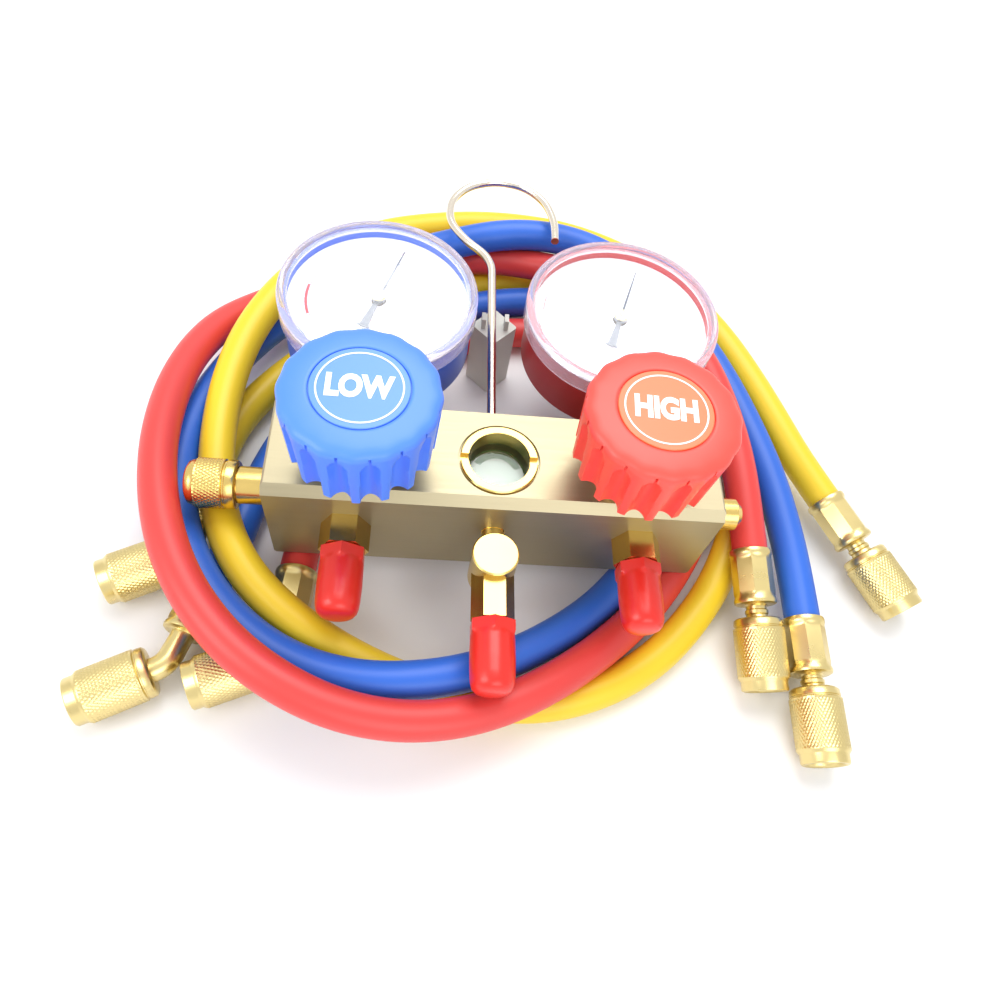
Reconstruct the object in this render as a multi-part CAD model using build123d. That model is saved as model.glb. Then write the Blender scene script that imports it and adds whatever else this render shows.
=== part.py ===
from build123d import *
from math import atan, cos, pi, radians, sin, sqrt, tan
import os

# Refrigerant manifold gauge set: two-valve block, two Bourdon gauges, hook and three charging hoses.
# Millimetres. Origin: centre of the block's flat back. +X to the high side, +Y to the gauges,
# +Z out of the dials. The set lies on a surface FLOOR_Z below the block's back.

# ---- surface and running clearances ----
FLOOR_Z = -14.0
RUN_GAP = 0.05          # radial, shaft in a hole
FIT_GAP = 0.02          # radial, piece screwed or pressed in its seat
FACE_GAP = 0.3          # between pieces that move past each other

# ---- manifold block ----
BODY_L = 147.0
BODY_W = 35.0
BODY_H = 41.0
BODY_BEVEL = 3.0
BODY_EDGE = 0.8
GALLERY_R = 3.5
GALLERY_Z = 22.5
VALVE_Y = -5.0

# ---- hand valves ----
VALVE_X = 43.0
VALVE_BORE_R = 6.0
VALVE_FLOOR_Z = 14.0
PISTON_L = 18.0
PISTON_LIFT = 3.0
PISTON_SOCKET = 12.0
BONNET_SEAT_R = 8.0
BONNET_SEAT_DEPTH = 5.0
BONNET_R = 11.0
BONNET_H = 9.0
COLLAR_R = 5.0
COLLAR_H = 2.5
SPINDLE_R = 4.0
SPINDLE_TIP_R = 3.0
KNOB_LIFT = 2.5          # gap between bonnet and knob
KNOB_H = 26.3
KNOB_R = 23.2
KNOB_BASE_R = 21.8
KNOB_LOBES = 16
KNOB_SCALLOP_R = 3.0
KNOB_SCALLOP_DEPTH = 2.4
KNOB_SHOULDER = 4.5      # plain band above the flutes
KNOB_CROWN_R = 2.2
KNOB_WALL = 3.4
KNOB_WEB = 6.5
KNOB_HUB_R = 8.0
LABEL_R = 14.0
LABEL_T = 0.8
SCREW_R = 2.0
SCREW_L = 12.0
SCREW_HEAD_R = 3.8
SCREW_HEAD_H = 2.4

# ---- sight glass ----
SIGHT_Y = -0.7
SIGHT_RING_R = 12.7
SIGHT_BORE_R = 10.0
SIGHT_RING_H = 6.0
SIGHT_PROUD = 0.6
SIGHT_RELIEF_R = 13.3
SIGHT_RELIEF_DEPTH = 1.0
SIGHT_SLOT_W = 2.6
SIGHT_SLOT_DEPTH = 1.5
GLASS_T = 4.0
GASKET_T = 1.0
SIGHT_WELL_R = 9.0
SIGHT_WELL_Z = 12.0

# ---- flare ports (1/4 SAE: 7/16-20 thread) ----
FLARE_R = 5.55
FLARE_NOSE_R = 3.6
FLARE_NOSE_L = 2.0
FLARE_BORE_R = 2.4
SPIGOT_R = 4.0
SPIGOT_L = 6.0
PORT_INSET = 25.5
PORT_HEX_AF = 14.0
PORT_HEX_L = 9.5
PORT_THREAD_L = 12.0
CAP_R = 7.0
CAP_L = 22.5
CAP_END = 4.0
CENTRE_NECK_R = 3.75
CENTRE_BODY_Y = -29.5
CENTRE_BODY_R = 7.5
CENTRE_BODY_H = 18.0
CENTRE_HEX_AF = 12.0
CENTRE_HEX_Y = -49.0
CENTRE_CAP_L = 22.5
CENTRE_CAP_TIP_R = 4.6
CENTRE_CAP_TAPER = 4.0
END_COLLAR_R = 6.2
LEFT_COLLAR_L = 10.2
RIGHT_COLLAR_L = 1.5
RIGHT_THREAD_L = 11.0
END_NUT_R = 8.3
END_NUT_L = 17.0
END_NUT_WALL = 3.5

# ---- hook ----
HOOK_WIRE_R = 1.6
HOOK_DEPTH = 10.5        # below the block's top
HOOK_X = -1.5
HOOK_BUSH_R = 4.2
HOOK_BUSH_L = 3.0
HOOK_SEAT_DEPTH = 5.2
HOOK_HEAD_R = 2.6
HOOK_HEAD_L = 1.5
HOOK_LOOP = [
    (-1.5, 101.0), (-13.0, 111.5), (-19.0, 121.0), (-18.8, 134.0), (-11.5, 144.0), (0.5, 148.6),
    (12.5, 146.6), (21.0, 138.5), (24.6, 127.0), (24.4, 115.0),
]

# ---- gauges ----
GAUGE_X = 43.0
GAUGE_Y = 59.0
CASE_R = 33.0
CASE_BACK_Z = 25.0
CASE_BACK_T = 2.0
CASE_WALL = 2.6
DIAL_Z = 45.0
DIAL_T = 0.5
DIAL_R = 31.4
CASE_LIP_H = 3.0
COVER_R = 34.5
COVER_TOP_Z = 51.9
COVER_SKIRT_Z = 43.0
COVER_RIM_W = 2.2
COVER_RIM_H = 0.9
WINDOW_T = 1.6
STEM_Z = 33.0
STEM_R = 5.0
STEM_SEAT_R = 4.0
STEM_SEAT_DEPTH = 7.0
STEM_FLANGE_R = 6.4
STEM_FLANGE_L = 2.5
SOCKET_W = 12.0
SOCKET_TOP_Z = 38.0
SOCKET_Y = -27.0
SOCKET_SHELF_Y = -21.6
TUBE_RING_R = 24.0
TUBE_RING_W = 2.5
TUBE_RING_H = 4.8
PLATE_Z = 33.6
PLATE_T = 1.0
PLATE_W = 15.0
PLATE_TOP_Y = 7.0
PLATE_GAP = 6.6
POST_R = 1.2
POST_X = 5.5
POST_Y = 4.2
LOW_POST_Y = -25.3
MODULE = 0.5
PINION_TEETH = 12
SECTOR_TEETH = 72
SECTOR_SPAN = (34.0, 108.0)
SECTOR_T = 1.5
SECTOR_RIM = 2.6
SECTOR_HUB_R = 2.4
SECTOR_ARBOR_R = 1.0
TOOTH_BACKLASH = 0.08
ARBOR_R = 0.8
PINION_T = 2.5
POINTER_Z = 46.4
POINTER_T = 0.5
POINTER_L = 25.0
POINTER_TAIL = 14.0
POINTER_W = 2.6
POINTER_TIP_W = 0.7
POINTER_TAIL_W = 3.4
POINTER_HUB_R = 2.6
POINTER_HUB_TOP_Z = 48.5
POINTER_ZERO = 252.0    # degrees from +X; 18 degrees short of straight down

# ---- rest block behind the hook ----
REST_SIDE = 13.0
REST_H = 31.0
REST_CORNER = (1.0, 69.5)
REST_TAB_L = 4.0
REST_TAB_W = 1.6
REST_TAB_H = 5.0
REST_TAB_X = 4.5

# ---- charging hoses and their ends ----
HOSE_D = 12.5
FERRULE_L = 20.0
FERRULE_CRIMP_AF = 13.2
FERRULE_FLANGE_R = 7.4
FERRULE_FLANGE_L = 2.5
NECK_R = 4.0
STRAIGHT_NECK_L = 5.0
BENT_NECK_L = 11.0
BENT_REACH = 4.5
NUT_R = 8.75
NUT_L = 25.0
NUT_BACK_T = 3.0
NUT_THREAD_R = 5.6
NUT_RELIEF_R = 6.2
NUT_RELIEF_L = 6.0
NUT_MOUTH_R = 6.6
NUT_MOUTH_L = 1.2
NUT_RIM_R = 7.9
NUT_RIM_L = 3.2
FLARE_SEAT_R = 5.0
FLARE_SEAT_L = 2.0
NIPPLE_R = 2.4
NIPPLE_L = 3.0
NIPPLE_BORE_R = 1.5

# Centre line of each hose from its straight end to its bent end: x, y and height above the surface.
YELLOW_ROUTE = [
    (134, 18, 13), (125.7, 33.9, 14.5), (118, 52, 17), (109.5, 72, 19), (99.5, 92.5, 20.5),
    (87.5, 112, 20), (73, 129, 19), (55.5, 142.5, 17.5), (35.5, 151.5, 16.5), (14.5, 154.5, 16),
    (-6.5, 152.5, 17), (-27.5, 146, 19), (-46.5, 136, 22), (-63.5, 122, 24.5), (-77.5, 105.5, 26.5),
    (-88, 87, 26.5), (-95, 67, 26), (-98.5, 45.5, 24), (-98.5, 23, 22), (-95.5, 2, 21.5),
    (-88.5, -17.5, 22.5), (-77.5, -33.5, 23.5), (-62.5, -46, 22), (-45, -55, 16.5), (-24.5, -61.5, 10.5),
    (-3, -65.5, 7.5), (19, -66, 6.5), (39.5, -60.5, 6.5), (58.5, -50, 6.5), (75, -34, 6.5),
    (89, -14.5, 6.5), (99, 7.5, 6.5), (106, 30.5, 6.5), (108.5, 53, 6.5), (107, 73.5, 6.5),
    (101, 91.5, 6.5), (91, 106.5, 6.5), (76.5, 118, 6.5), (59.5, 126, 6.5), (40, 130, 6.5),
    (19, 130, 6.5), (-3, 125.5, 6.5), (-25, 116.5, 6.5), (-46, 102.5, 6.5), (-65.5, 84.5, 6.5),
    (-83.5, 64, 6.5), (-95.5, 45, 6.5), (-100.7, 26, 7.15), (-101.4, 14, 7.6),
]
BLUE_ROUTE = [
    (114.5, -33, 13), (114.5, -15.1, 14.5), (113, 4, 16.5), (110, 24.5, 18.5), (104.5, 45.5, 20),
    (97, 67, 22), (87, 87.5, 24), (74, 105.5, 26.5), (58.5, 119.5, 29.5), (41, 128, 32),
    (22.5, 130, 34), (4, 128.5, 33.8), (-14.5, 125.5, 30), (-33, 121.5, 25.5), (-51, 114.5, 20),
    (-68, 104.5, 15), (-84, 91.5, 12.5), (-97, 74.5, 12), (-106, 54, 13.5), (-110.5, 31.5, 17),
    (-110, 8.5, 20.5), (-104.5, -13.5, 23), (-94.5, -33, 25), (-80.5, -49, 25.5), (-62.5, -60.5, 25.5),
    (-42.5, -65.5, 25), (-21.5, -64.5, 23.5), (-0.5, -58.5, 20), (19, -47.5, 15), (37, -34, 10.5),
    (52, -18, 7), (64, -0.5, 6.5), (72.5, 17, 7.5), (77, 34.5, 10.5), (78, 51.5, 15),
    (75, 67.5, 18), (68.5, 82, 19.5), (59.5, 94.5, 19), (47.5, 104, 17), (32.5, 110.5, 14),
    (15.5, 112.5, 11.5), (-3, 110.5, 9), (-21, 103.5, 8), (-38.5, 91.5, 7), (-55, 74.5, 6.5),
    (-69, 54, 6.5), (-79.5, 30, 6.5), (-86, 6, 7), (-89.8, -14.5, 7.15), (-93.9, -27.9, 7.6),
]
RED_ROUTE = [
    (96, -10, 20), (95.3, 7.5, 24), (94, 25.5, 27.5), (91, 44, 30), (86, 62, 32),
    (78.5, 79, 32.5), (68.5, 93.5, 31.5), (55, 105.5, 30), (39, 115.5, 27), (22, 122.5, 23.5),
    (3, 127.5, 20.5), (-16.5, 129, 16.5), (-37, 128, 12.5), (-57, 123, 9.5), (-76.5, 113.5, 8),
    (-94, 100.5, 10.2), (-107, 82, 17.4), (-114, 61, 23), (-116, 38, 28.5), (-114.5, 14.5, 33),
    (-110, -7.5, 36), (-102.5, -28, 37.5), (-92, -45.5, 38), (-78.5, -60, 37.5), (-62.5, -70.5, 35.5),
    (-44.5, -77, 31.5), (-24, -78.5, 27), (-2.5, -74.2, 22.8), (19, -64, 20.4), (41, -47.5, 14),
    (61.5, -27.5, 8.3), (78, -3.5, 6.5), (88, 20, 6.5), (90.5, 41.5, 6.5), (86.5, 60, 6.5),
    (77, 76, 6.5), (62.5, 88.5, 6.5), (44.5, 96.5, 6.5), (24, 99.5, 6.5), (3.5, 97.5, 6.5),
    (-15.5, 89, 6.5), (-32, 74, 6.5), (-45, 54, 6.5), (-55, 31, 6.5), (-61.5, 8.5, 7),
    (-65, -10.1, 7.15), (-65.8, -22.1, 7.6),
]
BENT_NUT_HEADINGS = {"yellow": 207.0, "blue": 207.0, "red": 203.0}

HALF_L = BODY_L / 2
HALF_W = BODY_W / 2
PORT_X = HALF_L - PORT_INSET
HOOK_Z = BODY_H - HOOK_DEPTH
KNOB_BASE_Z = BODY_H + BONNET_H + KNOB_LIFT
parts = {}


# ---- helpers ----
def at_z(x, y, z):
    return Plane(origin=(x, y, z), x_dir=(1, 0, 0), z_dir=(0, 0, 1))


def rod(plane, radius, length, start=0.0):
    """Cylinder along the plane's normal, from start to start + length."""
    return extrude(plane.offset(start) * Circle(radius), length)


def cone(plane, radius, end_radius, length, start=0.0):
    """Tapered rod along the plane's normal."""
    return loft([plane.offset(start) * Circle(radius), plane.offset(start + length) * Circle(end_radius)])


def slab(x0, x1, y0, y1, z0, z1):
    """Box between six coordinates."""
    return Pos((x0 + x1) / 2, (y0 + y1) / 2, (z0 + z1) / 2) * Box(x1 - x0, y1 - y0, z1 - z0)


def bend_radii(points):
    """Radius at each inner point of a route: its arc takes 0.45 of the shorter run beside it."""
    radii = []
    for before, here, after in zip(points, points[1:], points[2:]):
        run_in = here - before
        run_out = after - here
        half_turn = radians(run_in.get_angle(run_out)) / 2
        radii.append(0.45 * min(run_in.length, run_out.length) / tan(half_turn))
    return radii


def flare_stub(plane, length, start):
    """Male flare end: plain thread, then a 45 degree nose."""
    thread = rod(plane, FLARE_R, length - FLARE_NOSE_L, start)
    return thread + cone(plane, FLARE_R, FLARE_NOSE_R, FLARE_NOSE_L, start + length - FLARE_NOSE_L)


# ---- manifold block ----
def manifold_body():
    block = slab(-HALF_L, HALF_L, -HALF_W, HALF_W, 0, BODY_H)
    front_top = block.edges().filter_by(Axis.X).sort_by(lambda e: e.center().Z - e.center().Y)[-1]
    block = chamfer(front_top, BODY_BEVEL)
    block = chamfer(block.edges().filter_by(Axis.Y), BODY_EDGE)
    gallery = Plane(origin=(-HALF_L, VALVE_Y, GALLERY_Z), z_dir=(1, 0, 0))
    block -= rod(gallery, GALLERY_R, BODY_L)
    block -= rod(gallery, SPIGOT_R + FIT_GAP, SPIGOT_L)
    block -= rod(gallery, SPIGOT_R + FIT_GAP, SPIGOT_L, BODY_L - SPIGOT_L)
    for side in (-1, 1):
        valve = at_z(side * VALVE_X, VALVE_Y, 0)
        block -= rod(valve, VALVE_BORE_R, BODY_H - VALVE_FLOOR_Z, VALVE_FLOOR_Z)
        block -= rod(valve, BONNET_SEAT_R + FIT_GAP, BONNET_SEAT_DEPTH, BODY_H - BONNET_SEAT_DEPTH)
        port = Plane(origin=(side * PORT_X, -HALF_W, GALLERY_Z), z_dir=(0, 1, 0))
        block -= rod(port, FLARE_BORE_R, HALF_W + VALVE_Y)
        block -= rod(port, SPIGOT_R + FIT_GAP, SPIGOT_L)
        stem = Plane(origin=(side * GAUGE_X, HALF_W, STEM_Z), z_dir=(0, -1, 0))
        block -= rod(stem, STEM_SEAT_R + FIT_GAP, STEM_SEAT_DEPTH)
        block -= rod(stem, FLARE_BORE_R, HALF_W - VALVE_Y)
    centre = Plane(origin=(0, -HALF_W, GALLERY_Z), z_dir=(0, 1, 0))
    block -= rod(centre, FLARE_BORE_R, HALF_W)
    block -= rod(centre, SPIGOT_R + FIT_GAP, SPIGOT_L)
    sight = at_z(0, SIGHT_Y, 0)
    seat_z = BODY_H + SIGHT_PROUD - SIGHT_RING_H - GLASS_T - GASKET_T
    block -= rod(sight, SIGHT_WELL_R, BODY_H - SIGHT_WELL_Z, SIGHT_WELL_Z)
    block -= rod(sight, SIGHT_RING_R + FIT_GAP, BODY_H - seat_z, seat_z)
    block -= rod(sight, SIGHT_RELIEF_R, SIGHT_RELIEF_DEPTH, BODY_H - SIGHT_RELIEF_DEPTH)
    hook = Plane(origin=(HOOK_X, HALF_W, HOOK_Z), z_dir=(0, -1, 0))
    block -= rod(hook, HOOK_HEAD_R + RUN_GAP, HOOK_SEAT_DEPTH - HOOK_BUSH_L, HOOK_BUSH_L)
    block -= rod(hook, HOOK_BUSH_R - 1.0 + FIT_GAP, HOOK_BUSH_L)
    return block


parts["manifold_body"] = manifold_body()


# ---- hand valve, built about its own axis ----
def valve_pieces(x):
    axis = at_z(x, VALVE_Y, 0)
    seat_z = BODY_H - BONNET_SEAT_DEPTH
    web_z = KNOB_BASE_Z + KNOB_H - KNOB_WEB
    top_z = KNOB_BASE_Z + KNOB_H

    bonnet = rod(axis, BONNET_SEAT_R, BONNET_SEAT_DEPTH, seat_z)
    bonnet += chamfer(rod(axis, BONNET_R, BONNET_H, BODY_H).edges(), 0.6)
    bonnet -= rod(axis, SPINDLE_R + RUN_GAP, BONNET_SEAT_DEPTH + BONNET_H, seat_z)
    bonnet -= rod(axis, COLLAR_R + RUN_GAP, COLLAR_H + 2 * RUN_GAP, seat_z)

    piston = rod(axis, VALVE_BORE_R - RUN_GAP, PISTON_L, VALVE_FLOOR_Z)
    piston -= rod(axis, SPINDLE_TIP_R + RUN_GAP, PISTON_SOCKET, VALVE_FLOOR_Z + PISTON_L - PISTON_SOCKET)

    tip_z = VALVE_FLOOR_Z + PISTON_L - PISTON_SOCKET + PISTON_LIFT + FACE_GAP
    spindle = rod(axis, SPINDLE_TIP_R, seat_z + RUN_GAP - tip_z, tip_z)
    spindle += rod(axis, SPINDLE_R, web_z - seat_z - RUN_GAP, seat_z + RUN_GAP)
    spindle += rod(axis, COLLAR_R, COLLAR_H, seat_z + RUN_GAP)
    head_z = top_z - LABEL_T - SCREW_HEAD_H
    spindle -= rod(axis, SCREW_R, SCREW_L, head_z - SCREW_L)

    knob = cone(axis, KNOB_BASE_R, KNOB_R, KNOB_H, KNOB_BASE_Z)
    knob = fillet(knob.edges().sort_by(Axis.Z)[-1], KNOB_CROWN_R)
    flute_l = KNOB_H - KNOB_SHOULDER - KNOB_SCALLOP_R
    scallop = rod(axis, KNOB_SCALLOP_R, flute_l + 1, KNOB_BASE_Z - 1)
    scallop += Pos(x, VALVE_Y, KNOB_BASE_Z + flute_l) * Sphere(KNOB_SCALLOP_R)
    reach = KNOB_R - KNOB_SCALLOP_DEPTH + KNOB_SCALLOP_R
    knob -= [Pos(reach * cos(2 * pi * (i + 0.5) / KNOB_LOBES), reach * sin(2 * pi * (i + 0.5) / KNOB_LOBES), 0)
             * scallop for i in range(KNOB_LOBES)]
    skirt_r = KNOB_BASE_R - KNOB_SCALLOP_DEPTH - KNOB_WALL
    knob -= (rod(axis, skirt_r, KNOB_H - KNOB_WEB, KNOB_BASE_Z)
             - rod(axis, KNOB_HUB_R, KNOB_H - KNOB_WEB, KNOB_BASE_Z))
    knob -= rod(axis, SPINDLE_R, KNOB_H - KNOB_WEB, KNOB_BASE_Z)
    knob -= rod(axis, LABEL_R + FIT_GAP, LABEL_T, top_z - LABEL_T)
    knob -= rod(axis, SCREW_R, KNOB_WEB, web_z)
    knob -= rod(axis, SCREW_HEAD_R, SCREW_HEAD_H, head_z)

    label = rod(axis, LABEL_R, LABEL_T, top_z - LABEL_T)
    screw = rod(axis, SCREW_R, SCREW_L, head_z - SCREW_L) + rod(axis, SCREW_HEAD_R, SCREW_HEAD_H, head_z)
    return {"valve_bonnet": bonnet, "piston": piston, "spindle": spindle, "knob": knob,
            "knob_label": label, "knob_screw": screw}


for side_name, side in (("low", -1), ("high", 1)):
    for name, shape in valve_pieces(side * VALVE_X).items():
        parts[f"{side_name}_{name}"] = shape


# ---- sight glass ----
def sight_glass_pieces():
    axis = at_z(0, SIGHT_Y, 0)
    ring_z = BODY_H + SIGHT_PROUD - SIGHT_RING_H
    ring = rod(axis, SIGHT_RING_R, SIGHT_RING_H, ring_z)
    ring = chamfer(ring.edges().sort_by(Axis.Z)[-1], 0.4)
    ring -= rod(axis, SIGHT_BORE_R, SIGHT_RING_H, ring_z)
    top_z = ring_z + SIGHT_RING_H
    ring -= slab(-SIGHT_RING_R - 1, SIGHT_RING_R + 1, SIGHT_Y - SIGHT_SLOT_W / 2, SIGHT_Y + SIGHT_SLOT_W / 2,
                 top_z - SIGHT_SLOT_DEPTH, top_z)
    glass = rod(axis, SIGHT_RING_R, GLASS_T, ring_z - GLASS_T)
    gasket = rod(axis, SIGHT_RING_R, GASKET_T, ring_z - GLASS_T - GASKET_T)
    gasket -= rod(axis, SIGHT_WELL_R, GASKET_T, ring_z - GLASS_T - GASKET_T)
    return {"sight_glass_ring": ring, "sight_glass": glass, "sight_glass_gasket": gasket}


parts.update(sight_glass_pieces())


# ---- ports, end stubs and their caps ----
def side_port(x):
    front = Plane(origin=(x, -HALF_W, GALLERY_Z), x_dir=(1, 0, 0), z_dir=(0, -1, 0))
    port = extrude(front * RegularPolygon(PORT_HEX_AF / 2, 6, major_radius=False), PORT_HEX_L)
    port += flare_stub(front, PORT_THREAD_L, PORT_HEX_L)
    port += rod(front, SPIGOT_R, SPIGOT_L, -SPIGOT_L)
    port -= rod(front, FLARE_BORE_R, SPIGOT_L + PORT_HEX_L + PORT_THREAD_L, -SPIGOT_L)
    return port


def side_port_cap(x):
    front = Plane(origin=(x, -HALF_W - PORT_HEX_L - FACE_GAP, GALLERY_Z), z_dir=(0, -1, 0))
    cap = rod(front, CAP_R, CAP_L)
    cap = fillet(cap.edges().sort_by(Axis.Y)[0], 2.5)
    return cap - rod(front, FLARE_R + RUN_GAP, CAP_L - CAP_END)


def centre_port():
    front = Plane(origin=(0, -HALF_W, GALLERY_Z), x_dir=(1, 0, 0), z_dir=(0, -1, 0))
    reach = -HALF_W - CENTRE_BODY_Y
    hex_end = -HALF_W - CENTRE_HEX_Y
    port = rod(front, CENTRE_NECK_R, reach)
    body = rod(at_z(0, CENTRE_BODY_Y, 0), CENTRE_BODY_R, CENTRE_BODY_H, GALLERY_Z - CENTRE_BODY_H / 2)
    port += chamfer(body.edges(), 0.5)
    port += extrude(front.offset(reach) * RegularPolygon(CENTRE_HEX_AF / 2, 6, major_radius=False), hex_end - reach)
    port += flare_stub(front, PORT_THREAD_L, hex_end)
    port += rod(front, SPIGOT_R, SPIGOT_L, -SPIGOT_L)
    port -= rod(front, FLARE_BORE_R, SPIGOT_L + hex_end + PORT_THREAD_L, -SPIGOT_L)
    return port


def centre_port_cap():
    front = Plane(origin=(0, CENTRE_HEX_Y - FACE_GAP, GALLERY_Z), z_dir=(0, -1, 0))
    straight = CENTRE_CAP_L - CENTRE_CAP_TAPER
    cap = rod(front, CAP_R, straight) + cone(front, CAP_R, CENTRE_CAP_TIP_R, CENTRE_CAP_TAPER, straight)
    return cap - rod(front, FLARE_R + RUN_GAP, PORT_THREAD_L + 1.0)


def end_stub(side, collar, thread):
    face = Plane(origin=(side * HALF_L, VALVE_Y, GALLERY_Z), z_dir=(side, 0, 0))
    stub = rod(face, END_COLLAR_R, collar) + flare_stub(face, thread, collar)
    stub += rod(face, SPIGOT_R, SPIGOT_L, -SPIGOT_L)
    return stub - rod(face, FLARE_BORE_R, SPIGOT_L + collar + thread, -SPIGOT_L)


def end_cap_nut():
    face = Plane(origin=(-HALF_L - LEFT_COLLAR_L - FACE_GAP, VALVE_Y, GALLERY_Z), z_dir=(-1, 0, 0))
    nut = chamfer(rod(face, END_NUT_R, END_NUT_L).edges(), 1.2)
    return nut - rod(face, FLARE_R + RUN_GAP, END_NUT_L - END_NUT_WALL)


parts["low_port"] = side_port(-PORT_X)
parts["high_port"] = side_port(PORT_X)
parts["centre_port"] = centre_port()
parts["low_port_cap"] = side_port_cap(-PORT_X)
parts["high_port_cap"] = side_port_cap(PORT_X)
parts["centre_port_cap"] = centre_port_cap()
parts["left_end_stub"] = end_stub(-1, LEFT_COLLAR_L, PORT_THREAD_L)
parts["left_end_cap"] = end_cap_nut()
parts["right_end_stub"] = end_stub(1, RIGHT_COLLAR_L, RIGHT_THREAD_L)


# ---- hanging hook and its bush ----
def hook_pieces():
    back = Plane(origin=(HOOK_X, HALF_W, HOOK_Z), z_dir=(0, 1, 0))
    bush = rod(back, HOOK_BUSH_R, HOOK_BUSH_L) + rod(back, HOOK_BUSH_R - 1.0, HOOK_BUSH_L, -HOOK_BUSH_L)
    bush = bush - rod(back, HOOK_WIRE_R + RUN_GAP, 2 * HOOK_BUSH_L, -HOOK_BUSH_L)
    foot_y = HALF_W - HOOK_BUSH_L - FACE_GAP
    points = [Vector(px, py, HOOK_Z) for px, py in [(HOOK_X, foot_y)] + HOOK_LOOP]
    foot = Plane(origin=points[0], z_dir=(0, 1, 0))
    hook = sweep(foot * Circle(HOOK_WIRE_R), path=FilletPolyline(*points, radius=bend_radii(points)))
    hook += rod(foot, HOOK_HEAD_R, -HOOK_HEAD_L)
    return {"hook": hook, "hook_bush": bush}


parts.update(hook_pieces())


# ---- gauge movement: involute pinion and sector ----
def gear_outline(teeth, addendum, dedendum, first=0, last=None):
    """Points of involute teeth first..last-1 about the origin; tooth 0 is centred on +X."""
    last = teeth if last is None else last
    pitch_r = MODULE * teeth / 2
    base_r = pitch_r * cos(radians(20))
    tip_r = pitch_r + addendum * MODULE
    root_r = pitch_r - dedendum * MODULE
    inv_pitch = tan(radians(20)) - radians(20)
    half_tooth = (pi * MODULE / 2 - TOOTH_BACKLASH) / (2 * pitch_r)
    start_r = max(base_r, root_r)
    points = []
    for tooth in range(first, last):
        middle = 2 * pi * tooth / teeth
        flank = []
        for step in range(6):
            r = start_r + (tip_r - start_r) * step / 5
            roll = sqrt(max((r / base_r) ** 2 - 1, 0))
            flank.append((r, half_tooth + inv_pitch - (roll - atan(roll))))
        if root_r < start_r:
            flank.insert(0, (root_r, flank[0][1]))
        for r, half in flank:
            points.append((r * cos(middle - half), r * sin(middle - half)))
        for r, half in reversed(flank):
            points.append((r * cos(middle + half), r * sin(middle + half)))
    return points


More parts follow.
